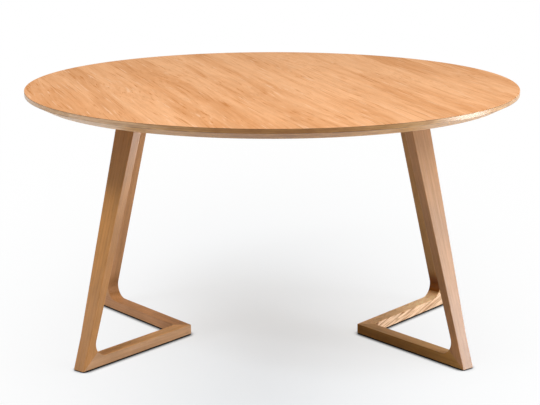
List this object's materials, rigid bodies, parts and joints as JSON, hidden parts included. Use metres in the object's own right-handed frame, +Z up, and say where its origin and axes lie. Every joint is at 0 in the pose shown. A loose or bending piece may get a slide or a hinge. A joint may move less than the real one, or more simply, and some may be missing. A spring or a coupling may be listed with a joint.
{
  "type": "round dining table",
  "caption": "Round oak dining table: a thin veneered top with an undercut rim on a pair of V-shaped sled legs of mitred, leaning frames.",
  "frame": {"origin": "on the floor, under the centre of the round top", "axes": "+Z up, +X to the table's right through both legs, +Y to its rear"},
  "size_m": [1.4, 1.4, 0.75],
  "materials": {
    "oak_face": "satin lacquered oak veneer, straight grain laid across the top at a slant",
    "oak_rim": "satin lacquered solid oak, grain round the rim",
    "oak_back": "plain oak backing veneer, thin lacquer",
    "oak_frame": "satin lacquered solid oak, grain along each piece",
    "oak_rail": "planed solid oak, thin lacquer",
    "core_board": "bare fibreboard, sealed inside",
    "beech": "bare beech",
    "steel": "zinc plated, dull",
    "brass": "turned, dull",
    "nylon": "dark moulded nylon"
  },
  "bodies": {
    "root": {"top_core": "core_board", "top_veneer": "oak_face", "backing_veneer": "oak_back", "lipping_1": "oak_rim", "lipping_2": "oak_rim", "lipping_3": "oak_rim", "lipping_4": "oak_rim", "lipping_5": "oak_rim", "lipping_6": "oak_rim", "lipping_7": "oak_rim", "lipping_8": "oak_rim", "left_front_post": "oak_frame", "left_rear_post": "oak_frame", "left_front_bar": "oak_frame", "left_rear_bar": "oak_frame", "left_head_rail": "oak_rail", "left_foot_splines": "beech", "left_apex_tenon": "beech", "left_inserts": "brass", "left_bolts": "steel", "left_washers": "steel", "left_glides": "nylon", "left_glide_nails": "steel", "right_front_post": "oak_frame", "right_rear_post": "oak_frame", "right_front_bar": "oak_frame", "right_rear_bar": "oak_frame", "right_head_rail": "oak_rail", "right_foot_splines": "beech", "right_apex_tenon": "beech", "right_inserts": "brass", "right_bolts": "steel", "right_washers": "steel", "right_glides": "nylon", "right_glide_nails": "steel"}
  },
  "joints": []
}
